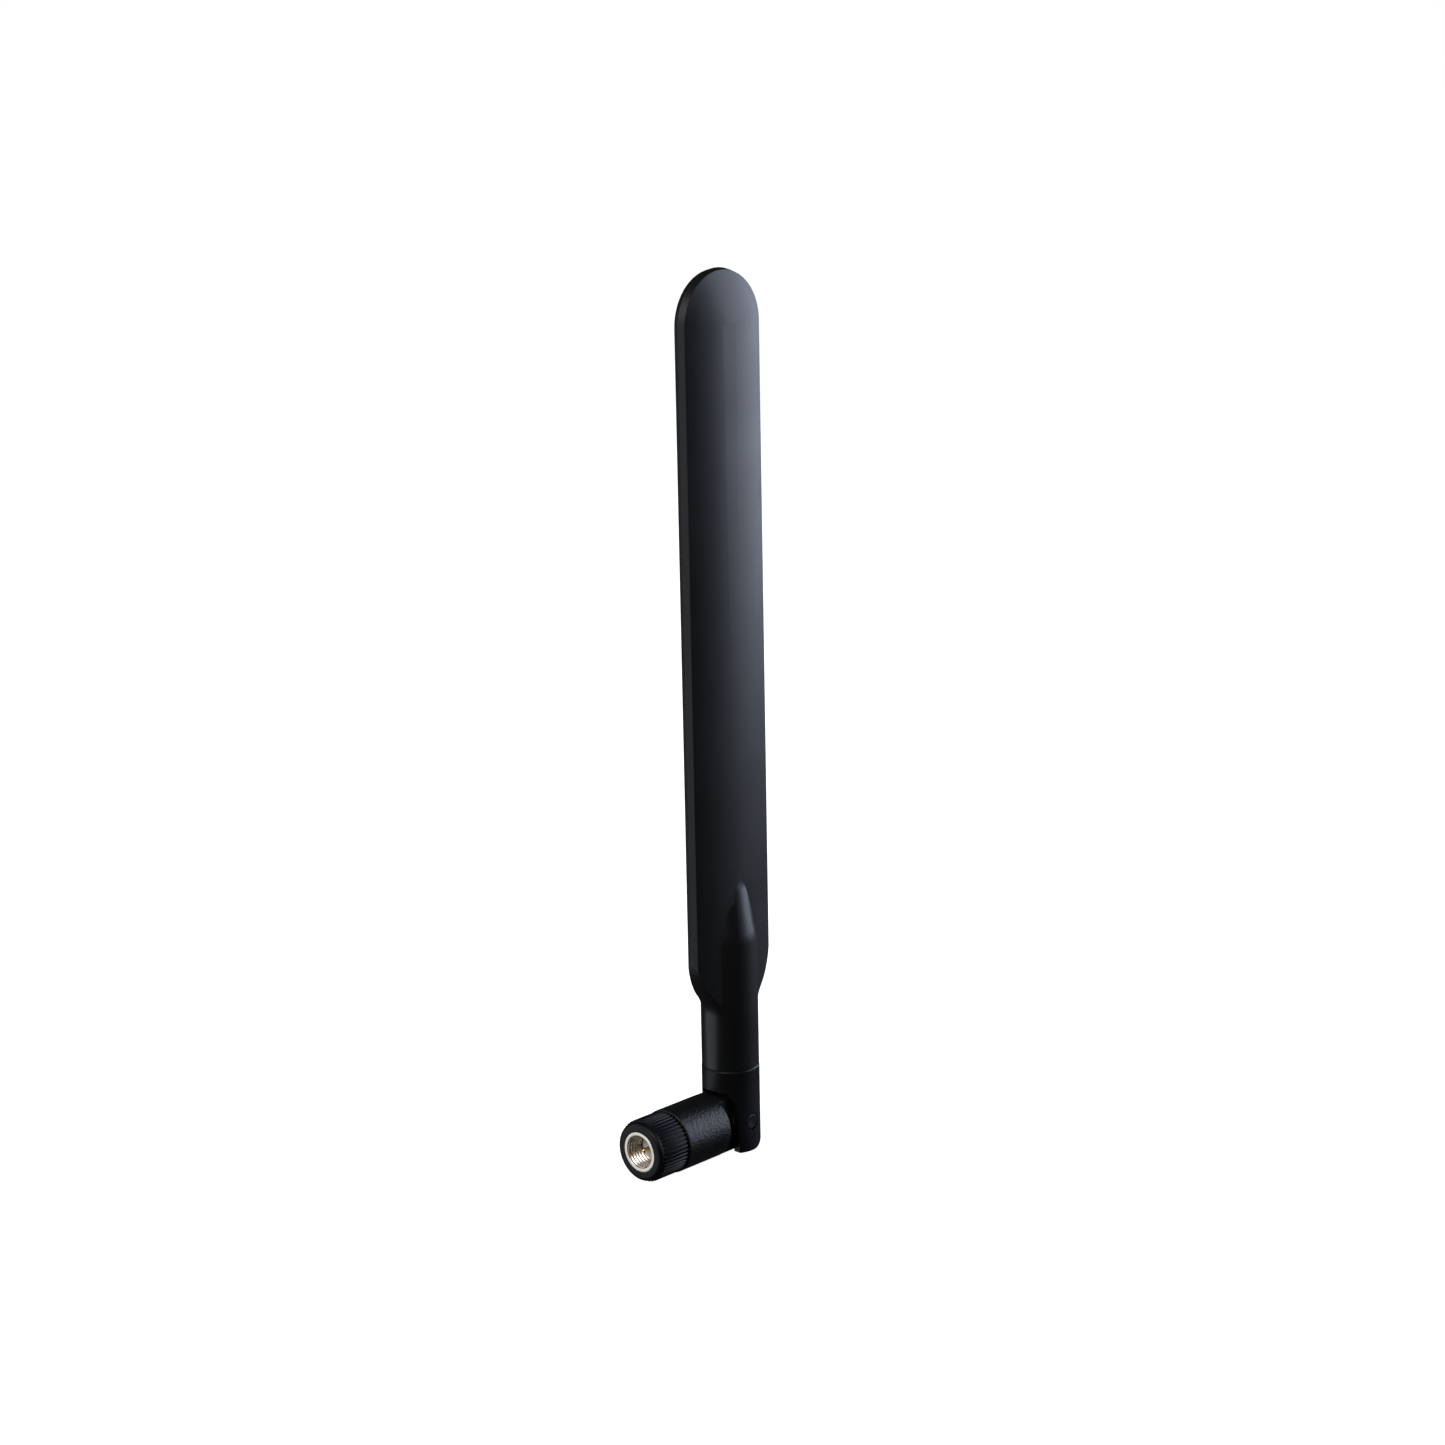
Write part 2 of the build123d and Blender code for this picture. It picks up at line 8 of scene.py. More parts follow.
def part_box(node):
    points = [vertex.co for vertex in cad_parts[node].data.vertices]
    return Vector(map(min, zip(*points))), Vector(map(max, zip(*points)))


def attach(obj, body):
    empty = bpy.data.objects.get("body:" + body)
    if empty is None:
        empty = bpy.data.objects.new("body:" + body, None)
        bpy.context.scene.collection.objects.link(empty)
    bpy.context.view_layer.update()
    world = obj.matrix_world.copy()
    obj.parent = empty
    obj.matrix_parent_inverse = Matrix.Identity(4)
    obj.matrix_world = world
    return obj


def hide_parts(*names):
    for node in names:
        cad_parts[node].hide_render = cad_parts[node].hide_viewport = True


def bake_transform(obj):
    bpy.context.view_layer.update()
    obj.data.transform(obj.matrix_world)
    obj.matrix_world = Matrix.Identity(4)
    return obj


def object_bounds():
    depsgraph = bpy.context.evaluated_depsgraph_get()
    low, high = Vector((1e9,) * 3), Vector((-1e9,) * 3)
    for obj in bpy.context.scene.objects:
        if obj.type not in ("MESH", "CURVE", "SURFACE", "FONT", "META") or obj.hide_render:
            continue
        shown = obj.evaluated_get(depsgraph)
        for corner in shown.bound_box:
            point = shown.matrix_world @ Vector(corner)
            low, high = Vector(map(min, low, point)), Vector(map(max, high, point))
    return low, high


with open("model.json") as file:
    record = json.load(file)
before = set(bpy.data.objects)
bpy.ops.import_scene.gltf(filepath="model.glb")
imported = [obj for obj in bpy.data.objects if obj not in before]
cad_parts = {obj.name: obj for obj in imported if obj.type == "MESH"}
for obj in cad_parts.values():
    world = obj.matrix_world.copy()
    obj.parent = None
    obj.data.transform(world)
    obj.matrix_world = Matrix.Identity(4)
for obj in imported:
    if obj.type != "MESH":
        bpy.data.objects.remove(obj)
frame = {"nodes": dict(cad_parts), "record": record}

cadBounds = [list(corner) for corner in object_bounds()]
nodes = frame["nodes"]
mm = 0.001
mmPerMetre = 1 / mm
weldGap = 0.0005 * mm  # points closer than this are made one
# degrees between two faces above which their shared edge stays crisp
crease = {"moulded": 28, "turned": 38, "small": 50, "threaded": 62}
pinLow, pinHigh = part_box("hinge_pin_front")
hingeX = (pinLow.x + pinHigh.x) / 2  # the tilt pins stand across the arm here
print("frame loaded with", len(nodes), "nodes")


def addNode(tree, kind, at=(0, 0), **values):
    node = tree.nodes.new(kind)
    node.location = at
    for name, value in values.items():
        setattr(node, name, value)
    return node


def calculate(tree, operation, first, second=None, at=(0, 0), clamp=False):
    node = addNode(tree, "ShaderNodeMath", at, operation=operation, use_clamp=clamp)
    for index, value in enumerate((first, second)):
        if isinstance(value, (int, float)):
            node.inputs[index].default_value = value
        elif value is not None:
            tree.links.new(value, node.inputs[index])
    return node.outputs[0]


def rangeOf(tree, value, fromLow, fromHigh, toLow, toHigh, at=(0, 0)):
    node = addNode(tree, "ShaderNodeMapRange", at)
    limits = {"From Min": fromLow, "From Max": fromHigh, "To Min": toLow, "To Max": toHigh}
    for label, number in limits.items():
        node.inputs[label].default_value = number
    tree.links.new(value, node.inputs["Value"])
    return node.outputs["Result"]


def noiseOf(tree, vector, scale, detail, roughness=0.5, at=(0, 0)):
    node = addNode(tree, "ShaderNodeTexNoise", at)
    node.inputs["Detail"].default_value = detail
    node.inputs["Roughness"].default_value = roughness
    tree.links.new(vector, node.inputs["Vector"])
    if isinstance(scale, (int, float)):
        node.inputs["Scale"].default_value = scale
    else:
        tree.links.new(scale, node.inputs["Scale"])
    return node.outputs["Fac"]


def newGroup(name, inputs, outputs):
    group = bpy.data.node_groups.new(name, "ShaderNodeTree")
    for label, kind, default in inputs:
        socket = group.interface.new_socket(label, in_out="INPUT", socket_type=kind)
        if default is not None:
            socket.default_value = default
    for label in outputs:
        group.interface.new_socket(label, in_out="OUTPUT", socket_type="NodeSocketFloat")
    return group, addNode(group, "NodeGroupInput", (-900, 0)), addNode(group, "NodeGroupOutput", (700, 0))


# these groups take sizes in millimetres; pitScale and speckScale are shares of the grain's own scale
mould = {"detail": 3.0, "roughness": 0.62, "pitScale": 0.6, "mottleDetail": 4.0, "speckScale": 0.3,
         "speckRange": (0.70, 0.78)}


def makeMouldGrain():
    group, given, result = newGroup(
        "mouldGrain",
        [("Vector", "NodeSocketVector", None), ("Grain Size", "NodeSocketFloat", 0.25),
         ("Mottle Size", "NodeSocketFloat", 6.0), ("Pitting", "NodeSocketFloat", 0.35)],
        ["Grain", "Mottle", "Specks"])
    links, vector = group.links, given.outputs["Vector"]
    perMetre = calculate(group, "DIVIDE", mmPerMetre, given.outputs["Grain Size"], (-700, 150))
    fine = noiseOf(group, vector, perMetre, mould["detail"], mould["roughness"], (-480, 200))
    pits = addNode(group, "ShaderNodeTexVoronoi", (-480, -60), feature="F1")
    links.new(vector, pits.inputs["Vector"])
    links.new(calculate(group, "MULTIPLY", perMetre, mould["pitScale"], (-650, -60)), pits.inputs["Scale"])
    pitted = calculate(group, "MULTIPLY", pits.outputs["Distance"], given.outputs["Pitting"], (-250, -60))
    links.new(calculate(group, "ADD", fine, pitted, (0, 150)), result.inputs["Grain"])
    broadScale = calculate(group, "DIVIDE", mmPerMetre, given.outputs["Mottle Size"], (-700, -320))
    broad = noiseOf(group, vector, broadScale, mould["mottleDetail"], at=(-480, -320))
    links.new(broad, result.inputs["Mottle"])
    speckScale = calculate(group, "MULTIPLY", perMetre, mould["speckScale"], (-650, -560))
    specks = noiseOf(group, vector, speckScale, 1.0, at=(-480, -560))
    links.new(rangeOf(group, specks, *mould["speckRange"], 0.0, 1.0, (-200, -560)), result.inputs["Specks"])
    return group


# an edge is where a rounded copy of the normal leaves the true one, measured as the cosine between them
edging = {"samples": 4, "cosines": (0.995, 0.9), "scuffDetail": 3.0, "scuffRange": (0.38, 0.68)}


def makeEdgeWear():
    group, given, result = newGroup(
        "edgeWear",
        [("Vector", "NodeSocketVector", None), ("Width", "NodeSocketFloat", 0.2),
         ("Breakup Size", "NodeSocketFloat", 0.8), ("Amount", "NodeSocketFloat", 1.0)],
        ["Wear"])
    links = group.links
    rounded = addNode(group, "ShaderNodeBevel", (-650, 150), samples=edging["samples"])
    links.new(calculate(group, "MULTIPLY", given.outputs["Width"], mm, (-780, 150)), rounded.inputs["Radius"])
    surface = addNode(group, "ShaderNodeNewGeometry", (-650, -60))
    turned = addNode(group, "ShaderNodeVectorMath", (-450, 100), operation="DOT_PRODUCT")
    links.new(rounded.outputs["Normal"], turned.inputs[0])
    links.new(surface.outputs["Normal"], turned.inputs[1])
    edge = rangeOf(group, turned.outputs["Value"], *edging["cosines"], 0.0, 1.0, (-250, 100))
    scuffScale = calculate(group, "DIVIDE", mmPerMetre, given.outputs["Breakup Size"], (-650, -260))
    scuffs = noiseOf(group, given.outputs["Vector"], scuffScale, edging["scuffDetail"], at=(-450, -220))
    broken = rangeOf(group, scuffs, *edging["scuffRange"], 0.0, 1.0, (-250, -220))
    worn = calculate(group, "MULTIPLY", edge, broken, (0, 0))
    links.new(calculate(group, "MULTIPLY", worn, given.outputs["Amount"], (200, 0), True),
              result.inputs["Wear"])
    return group


# turning marks of a lathe whose spindle lies along X
def makeLatheMarks():
    group, given, result = newGroup(
        "latheMarks", [("Vector", "NodeSocketVector", None), ("Pitch", "NodeSocketFloat", 0.08)], ["Marks"])
    links = group.links
    parts = addNode(group, "ShaderNodeSeparateXYZ", (-750, 100))
    links.new(given.outputs["Vector"], parts.inputs[0])
    across = addNode(group, "ShaderNodeCombineXYZ", (-560, -60))
    links.new(parts.outputs["Y"], across.inputs["Y"])
    links.new(parts.outputs["Z"], across.inputs["Z"])
    radius = addNode(group, "ShaderNodeVectorMath", (-380, -60), operation="LENGTH")
    links.new(across.outputs[0], radius.inputs[0])
    path = calculate(group, "ADD", parts.outputs["X"], radius.outputs["Value"], (-200, 60))
    counted = calculate(group, "DIVIDE", calculate(group, "MULTIPLY", path, mmPerMetre, (-80, 160)),
                        given.outputs["Pitch"], (60, 160))
    row = addNode(group, "ShaderNodeCombineXYZ", (200, 60))
    links.new(counted, row.inputs["X"])
    links.new(noiseOf(group, row.outputs[0], 1.0, 2.0, 0.5, (380, 60)), result.inputs["Marks"])
    return group


mouldGrain, edgeWear, latheMarks = makeMouldGrain(), makeEdgeWear(), makeLatheMarks()


def placeGroup(tree, group, vector, at, values):
    node = addNode(tree, "ShaderNodeGroup", at, node_tree=group)
    tree.links.new(vector, node.inputs["Vector"])
    for label, value in values.items():
        node.inputs[label].default_value = value
    return node


def mixColours(tree, factor, first, second, at):
    node = addNode(tree, "ShaderNodeMix", at, data_type="RGBA")
    for index, value in ((6, first), (7, second)):
        if isinstance(value, tuple):
            node.inputs[index].default_value = (*value, 1.0)
        else:
            tree.links.new(value, node.inputs[index])
    tree.links.new(factor, node.inputs[0])
    return node.outputs[2]


# what a finish has unless its look says otherwise
plainLook = {"mottle": 5.0, "pitting": 0.3, "wearWidth": 0.12, "wearBreakup": 0.7, "wear": 0.5, "specks": 0.0,
             "polish": -0.08, "shader": {}}
mottleRange = {"tone": (0.32, 0.68), "gloss": (0.3, 0.7)}
# how much of the plain surface still shows under turning marks or a pattern
showThrough = {"marks": 0.35, "pattern": 0.3}


# every finish mixes two tones by mottle, then worn edges and specks, over a fine bump
def makeFinish(name, given):
    look = {"speck": given["light"], **plainLook, **given}
    material = bpy.data.materials.new(name)
    material.use_nodes = True
    tree = material.node_tree
    links, shader = tree.links, tree.nodes["Principled BSDF"]
    place = addNode(tree, "ShaderNodeTexCoord", (-1500, 0)).outputs["Object"]
    grain = placeGroup(tree, mouldGrain, place, (-1100, 200), {
        "Grain Size": look["grain"], "Mottle Size": look["mottle"], "Pitting": look["pitting"]})
    wearing = placeGroup(tree, edgeWear, place, (-1100, -100), {
        "Width": look["wearWidth"], "Breakup Size": look["wearBreakup"], "Amount": look["wear"]})
    wear = wearing.outputs["Wear"]
    mottle = grain.outputs["Mottle"]
    height = grain.outputs["Grain"]
    blend = rangeOf(tree, mottle, *mottleRange["tone"], 0.0, 1.0, (-850, 320))
    if "marks" in look:
        marks = placeGroup(tree, latheMarks, place, (-1100, -400), {"Pitch": look["marks"]}).outputs["Marks"]
        under = calculate(tree, "MULTIPLY", height, showThrough["marks"], (-850, -50))
        height = calculate(tree, "ADD", under, marks, (-700, -50))
    if "pattern" in look:
        # the pattern's colour; in the braid and the foam it is painted shade in grooves and cells
        shade, relief = look["pattern"](tree, place)
        tone = calculate(tree, "MULTIPLY", blend, showThrough["pattern"], (-700, 420))
        blend = calculate(tree, "ADD", tone, shade, (-560, 420), True)
        under = calculate(tree, "MULTIPLY", height, showThrough["pattern"], (-700, 0))
        height = calculate(tree, "ADD", under, relief, (-560, 0))
    colour = mixColours(tree, blend, look["dark"], look["light"], (-450, 320))
    colour = mixColours(tree, wear, colour, look["worn"], (-250, 300))
    dusty = calculate(tree, "MULTIPLY", grain.outputs["Specks"], look["specks"], (-450, 120))
    links.new(mixColours(tree, dusty, colour, look["speck"], (-60, 300)), shader.inputs["Base Color"])
    gloss = rangeOf(tree, mottle, *mottleRange["gloss"], *look["roughness"], (-450, -100))
    polished = calculate(tree, "MULTIPLY", wear, look["polish"], (-450, -260))
    links.new(calculate(tree, "ADD", gloss, polished, (-200, -100), True), shader.inputs["Roughness"])
    bump = addNode(tree, "ShaderNodeBump", (-200, -400))
    bump.inputs["Strength"].default_value = 1.0
    bump.inputs["Distance"].default_value = look["relief"] * mm
    links.new(height, bump.inputs["Height"])
    links.new(bump.outputs["Normal"], shader.inputs["Normal"])
    for label, value in look["shader"].items():
        shader.inputs[label].default_value = value
    return material


# pattern scales are per metre; tone and relief say how strongly a pattern shows in colour and in height; in
# the braid and the foam that colour is painted shade in the grooves and the cells
braid = {"strands": 900.0, "waver": 1.5, "tone": 0.7}
glass = {"threads": 700.0, "tone": 0.5, "relief": 0.4}
foam = {"cells": 3500.0, "tone": 0.8}


def waveOf(tree, vector, direction, scale, at):
    wave = addNode(tree, "ShaderNodeTexWave", at, wave_type="BANDS", bands_direction=direction)
    wave.inputs["Scale"].default_value = scale
    tree.links.new(vector, wave.inputs["Vector"])
    return wave


# diagonal strands crossed with a turned copy of themselves; the colour darkens in the grooves between strands
# as painted shade
def braidWithPaintedShade(tree, place):
    weave = waveOf(tree, place, "DIAGONAL", braid["strands"], (-1100, 600))
    weave.inputs["Distortion"].default_value = braid["waver"]
    crossed = addNode(tree, "ShaderNodeMapping", (-1300, 800))
    crossed.inputs["Rotation"].default_value = (0.0, math.pi / 2, math.pi / 2)
    tree.links.new(place, crossed.inputs["Vector"])
    other = waveOf(tree, crossed.outputs[0], "DIAGONAL", braid["strands"], (-1100, 850))
    woven = calculate(tree, "MAXIMUM", weave.outputs["Fac"], other.outputs["Fac"], (-900, 700))
    return calculate(tree, "MULTIPLY", woven, braid["tone"], (-750, 640)), woven


# woven glass under the board's mask
def glassPattern(tree, place):
    warp = waveOf(tree, place, "X", glass["threads"], (-1100, 600)).outputs["Fac"]
    weft = waveOf(tree, place, "Z", glass["threads"], (-1100, 850)).outputs["Fac"]
    woven = calculate(tree, "MULTIPLY", warp, weft, (-900, 700))
    return (calculate(tree, "MULTIPLY", woven, glass["tone"], (-750, 640)),
            calculate(tree, "MULTIPLY", woven, glass["relief"], (-750, 760)))


# open cells of a foam; the colour darkens towards each cell's middle, where its pit is deepest, as painted
# shade
def foamCellsWithPaintedShade(tree, place):
    cells = addNode(tree, "ShaderNodeTexVoronoi", (-1100, 700), feature="F1")
    cells.inputs["Scale"].default_value = foam["cells"]
    tree.links.new(place, cells.inputs["Vector"])
    distance = cells.outputs["Distance"]
    return calculate(tree, "MULTIPLY", distance, foam["tone"], (-900, 640)), distance


blackShader = {"IOR": 1.5}
dullShader = {"IOR": 1.36}
gripShader = {"IOR": 1.29}
barrelShader = {"IOR": 1.44}
metalShader = {"Metallic": 1.0}
looks = {
    "shellBlack": {
        "dark": (0.0031, 0.0034, 0.0041), "light": (0.0044, 0.0047, 0.0057),
        "worn": (0.03, 0.031, 0.034), "grain": 0.16, "mottle": 14.0, "pitting": 0.3, "relief": 0.008,
        "roughness": (0.33, 0.39), "wear": 0.5, "specks": 0.05, "speck": (0.05, 0.052, 0.056),
        "shader": blackShader,
    },
    "knuckleBlack": {
        "dark": (0.0029, 0.0031, 0.0038), "light": (0.0042, 0.0044, 0.0053),
        "worn": (0.035, 0.035, 0.038), "grain": 0.18, "mottle": 7.0, "relief": 0.010,
        "roughness": (0.36, 0.44), "wear": 0.7, "specks": 0.05, "speck": (0.05, 0.052, 0.056),
        "shader": dullShader,
    },
    "barrelBlack": {
        "dark": (0.0034, 0.0036, 0.0042), "light": (0.0050, 0.0053, 0.0061),
        "worn": (0.04, 0.041, 0.044), "grain": 0.30, "mottle": 4.0, "pitting": 1.2, "relief": 0.050,
        "roughness": (0.32, 0.42), "wear": 0.6, "specks": 0.10, "speck": (0.07, 0.072, 0.078),
        "shader": barrelShader,
    },
    "gripBlack": {
        "dark": (0.0027, 0.0030, 0.0037), "light": (0.0043, 0.0045, 0.0055),
        "worn": (0.050, 0.052, 0.058), "grain": 0.16, "mottle": 4.0, "relief": 0.010,
        "roughness": (0.32, 0.42), "wear": 0.8, "wearWidth": 0.09, "specks": 0.08,
        "speck": (0.06, 0.062, 0.066), "shader": gripShader,
    },
    "pinBlack": {
        "dark": (0.0031, 0.0034, 0.0040), "light": (0.0048, 0.0050, 0.0059),
        "worn": (0.04, 0.041, 0.044), "grain": 0.12, "mottle": 2.0, "relief": 0.008,
        "roughness": (0.34, 0.42), "wear": 0.7, "specks": 0.05, "shader": blackShader,
    },
    "brightNickel": {
        "dark": (0.76, 0.69, 0.59), "light": (0.88, 0.82, 0.72), "worn": (0.93, 0.91, 0.87),
        "grain": 0.10, "mottle": 1.5, "marks": 0.05, "relief": 0.0006, "roughness": (0.24, 0.32),
        "wear": 0.6, "wearWidth": 0.06, "specks": 0.25, "speck": (0.42, 0.38, 0.32),
        "shader": metalShader,
    },
    "goldPlate": {
        "dark": (0.78, 0.52, 0.20), "light": (0.95, 0.70, 0.34), "worn": (1.0, 0.84, 0.55),
        "grain": 0.06, "mottle": 0.8, "marks": 0.03, "relief": 0.0010, "roughness": (0.16, 0.26),
        "wear": 0.5, "wearWidth": 0.04, "shader": metalShader,
    },
    "whitePtfe": {
        "dark": (0.80, 0.80, 0.78), "light": (0.90, 0.90, 0.885), "worn": (0.94, 0.94, 0.93),
        "grain": 0.08, "mottle": 1.2, "marks": 0.04, "relief": 0.0020, "roughness": (0.42, 0.56),
        "wear": 0.3, "wearWidth": 0.05, "specks": 0.2, "speck": (0.62, 0.58, 0.50),
        "shader": {"IOR": 1.35, "Subsurface Weight": 0.15, "Subsurface Scale": 0.0005},
    },
    "orangeSilicone": {
        "dark": (0.50, 0.13, 0.03), "light": (0.68, 0.20, 0.05), "worn": (0.75, 0.30, 0.12),
        "grain": 0.10, "mottle": 1.0, "relief": 0.004, "roughness": (0.45, 0.6), "wear": 0.3,
        "specks": 0.3, "speck": (0.80, 0.55, 0.40),
    },
    "springBronze": {
        "dark": (0.42, 0.27, 0.13), "light": (0.62, 0.43, 0.23), "worn": (0.8, 0.62, 0.4), "grain": 0.10,
        "mottle": 1.5, "marks": 0.06, "relief": 0.002, "roughness": (0.25, 0.4), "wear": 0.5,
        "shader": metalShader,
    },
    "crimpNickel": {
        "dark": (0.62, 0.58, 0.52), "light": (0.80, 0.76, 0.70), "worn": (0.9, 0.87, 0.82),
        "grain": 0.12, "mottle": 1.5, "relief": 0.004, "roughness": (0.28, 0.42), "wear": 0.6,
        "shader": metalShader,
    },
    "shrinkBlack": {
        "dark": (0.014, 0.014, 0.015), "light": (0.026, 0.026, 0.028), "worn": (0.06, 0.06, 0.06),
        "grain": 0.3, "mottle": 1.2, "relief": 0.02, "roughness": (0.38, 0.55), "wear": 0.4,
    },
    "brownJacket": {
        "dark": (0.20, 0.075, 0.03), "light": (0.32, 0.13, 0.055), "worn": (0.45, 0.22, 0.11),
        "grain": 0.14, "mottle": 2.0, "relief": 0.004, "roughness": (0.22, 0.34), "wear": 0.3,
        "specks": 0.2, "speck": (0.5, 0.3, 0.18),
    },
    # the braid's dark tone is mostly painted shade in the grooves between strands
    "silverBraid": {
        "dark": (0.30, 0.29, 0.28), "light": (0.86, 0.85, 0.82), "worn": (0.95, 0.94, 0.92),
        "grain": 0.08, "mottle": 0.8, "relief": 0.02, "roughness": (0.25, 0.4), "wear": 0.2,
        "pattern": braidWithPaintedShade, "shader": metalShader,
    },
    "clearDielectric": {
        "dark": (0.74, 0.74, 0.72), "light": (0.86, 0.86, 0.84), "worn": (0.9, 0.9, 0.89), "grain": 0.10,
        "mottle": 1.0, "relief": 0.003, "roughness": (0.3, 0.42), "wear": 0.2,
    },
    "silverWire": {
        "dark": (0.70, 0.69, 0.67), "light": (0.88, 0.87, 0.84), "worn": (0.95, 0.94, 0.92),
        "grain": 0.05, "mottle": 0.5, "marks": 0.02, "relief": 0.001, "roughness": (0.2, 0.32),
        "wear": 0.3, "shader": metalShader,
    },
    "naturalNylon": {
        "dark": (0.58, 0.55, 0.48), "light": (0.70, 0.67, 0.60), "worn": (0.78, 0.76, 0.7),
        "grain": 0.15, "mottle": 1.5, "relief": 0.006, "roughness": (0.4, 0.55), "wear": 0.3,
    },
    "greenBoard": {
        "dark": (0.012, 0.075, 0.030), "light": (0.030, 0.130, 0.055), "worn": (0.35, 0.33, 0.22),
        "grain": 0.2, "mottle": 8.0, "relief": 0.006, "roughness": (0.22, 0.34), "wear": 0.6,
        "pattern": glassPattern,
    },
    "etchedCopper": {
        "dark": (0.60, 0.29, 0.13), "light": (0.80, 0.46, 0.26), "worn": (0.9, 0.62, 0.42),
        "grain": 0.12, "mottle": 5.0, "relief": 0.003, "roughness": (0.26, 0.42), "wear": 0.5,
        "specks": 0.5, "speck": (0.35, 0.16, 0.08), "shader": metalShader,
    },
    # the foam's dark tone is mostly painted shade inside its cells
    "greyFoam": {
        "dark": (0.05, 0.05, 0.052), "light": (0.14, 0.14, 0.145), "worn": (0.2, 0.2, 0.2), "grain": 0.3,
        "mottle": 2.0, "relief": 0.10, "roughness": (0.75, 0.92), "wear": 0.1, "pattern": foamCellsWithPaintedShade,
    },
    "tinSolder": {
        "dark": (0.50, 0.50, 0.51), "light": (0.74, 0.74, 0.75), "worn": (0.85, 0.85, 0.86),
        "grain": 0.3, "mottle": 0.7, "relief": 0.02, "roughness": (0.24, 0.42), "wear": 0.3,
        "shader": metalShader,
    },
}
finishes = {name: makeFinish(name, look) for name, look in looks.items()}
print("finishes made:", len(finishes))

finishOfSlot = {
    "nickel_nut": "brightNickel", "nickel_body": "brightNickel", "black_grip": "gripBlack",
    "black_arm": "barrelBlack", "black_knuckle": "knuckleBlack", "black_shell": "shellBlack",
    "black_pin": "pinBlack", "white_ptfe": "whitePtfe", "gold_contact": "goldPlate",
    "orange_silicone": "orangeSilicone", "spring_bronze": "springBronze", "copper_ferrule": "crimpNickel",
    "heat_shrink": "shrinkBlack", "cable_jacket": "brownJacket", "silver_braid": "silverBraid",
    "clear_dielectric": "clearDielectric", "silver_conductor": "silverWire", "nylon_washer": "naturalNylon",
    "green_board": "greenBoard", "copper_trace": "etchedCopper", "grey_foam": "greyFoam",
    "solder": "tinSolder",
}
slotOfNode = {part["node"]: part["material_slot"] for part in frame["record"]["subparts"]}
for nodeName, slotName in slotOfNode.items():
    for materialSlot in nodes[nodeName].material_slots:
        materialSlot.material = finishes[finishOfSlot[slotName]]
print("frame nodes painted")


def addPiece(name, mesh, body, slot, *replaced):
    piece = bpy.data.objects.new(name, mesh)
    bpy.context.scene.collection.objects.link(piece)
    if not mesh.materials:
        mesh.materials.append(finishes[finishOfSlot[slot]])
    if body:
        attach(piece, body)
    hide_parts(*replaced)
    return piece


def bakeModifiers(holder):
    evaluated = holder.evaluated_get(bpy.context.evaluated_depsgraph_get())
    mesh = bpy.data.meshes.new_from_object(evaluated)
    bpy.data.objects.remove(holder)
    return mesh


# the mesh of a bmesh; a crisp angle smooths it but for edges sharper than that
def meshFrom(work, name, crisp=None):
    mesh = bpy.data.meshes.new(name)
    work.to_mesh(mesh)
    work.free()
    if crisp is not None:
        mesh.shade_smooth()
        mesh.set_sharp_from_angle(angle=math.radians(crisp))
    return mesh


def bridgeRings(work, rings):
    for here, there in zip(rings, rings[1:]):
        for index in range(len(here)):
            after = (index + 1) % len(here)
            work.faces.new((here[index], here[after], there[after], there[index]))


def capEnds(work, rings):
    work.faces.new(rings[0])
    work.faces.new(list(reversed(rings[-1])))


# faces within flatAngle degrees become one, and faceWeight is how far large faces lead the shading
softening = {"flatAngle": 0.4, "faceWeight": 60}


# a copy of a frame node with its crisp moulded edges rounded
def softenedMesh(node, rounding):
    work = bmesh.new()
    work.from_mesh(nodes[node].data)
    bmesh.ops.remove_doubles(work, verts=work.verts, dist=weldGap)
    bmesh.ops.dissolve_limit(work, angle_limit=math.radians(softening["flatAngle"]),
                             verts=work.verts, edges=work.edges)
    mesh = meshFrom(work, node + "_soft")
    mesh.shade_smooth()
    holder = bpy.data.objects.new("holder", mesh)
    bpy.context.scene.collection.objects.link(holder)
    bevel = holder.modifiers.new("roundedEdges", "BEVEL")
    bevel.width = rounding["edge"] * mm
    bevel.segments = rounding["steps"]
    bevel.limit_method = "ANGLE"
    bevel.angle_limit = math.radians(crease["moulded"])
    bevel.use_clamp_overlap = True
    weighted = holder.modifiers.new("evenShading", "WEIGHTED_NORMAL")
    weighted.mode = "FACE_AREA"
    weighted.weight = softening["faceWeight"]
    soft = bakeModifiers(holder)
    soft.materials.clear()
    return soft


# rings round a line along X or Y through centre, in millimetres. A profile point is (along, radius), or
# (along, radius, shape) where shape(radius, angle) gives the radius at an angle. A closed profile joins
# its last ring to its first, and an open one ends on the line or meets another mesh.
def turnedMesh(name, profile, steps, centre=(0.0, 0.0, 0.0), axis="X", closed=True):
    work = bmesh.new()
    rings = []
    for along, radius, *shape in profile:
        ring = []
        for step in range(steps):
            angle = 2 * math.pi * step / steps
            reach = shape[0](radius, angle) if shape else radius
            across, height = reach * math.cos(angle), reach * math.sin(angle)
            place = (along, across, height) if axis == "X" else (across, along, height)
            ring.append(work.verts.new([(a + b) * mm for a, b in zip(place, centre)]))
        rings.append(ring)
    bridgeRings(work, (rings + rings[:1]) if closed else rings)
    bmesh.ops.remove_doubles(work, verts=work.verts, dist=weldGap)
    bmesh.ops.recalc_face_normals(work, faces=work.faces)
    return meshFrom(work, name, crease["turned"])


shells = {"edge": 0.14, "steps": 3}
for node in ("front_shell", "rear_shell"):
    addPiece(node + "_moulding", softenedMesh(node, shells), "blade", "black_shell", node)
print("blade shells made")

knuckle = {"edge": 0.16, "steps": 3}
addPiece("knuckle_moulding", softenedMesh("swivel_fork", knuckle), "blade", "black_knuckle", "swivel_fork")
print("knuckle made")

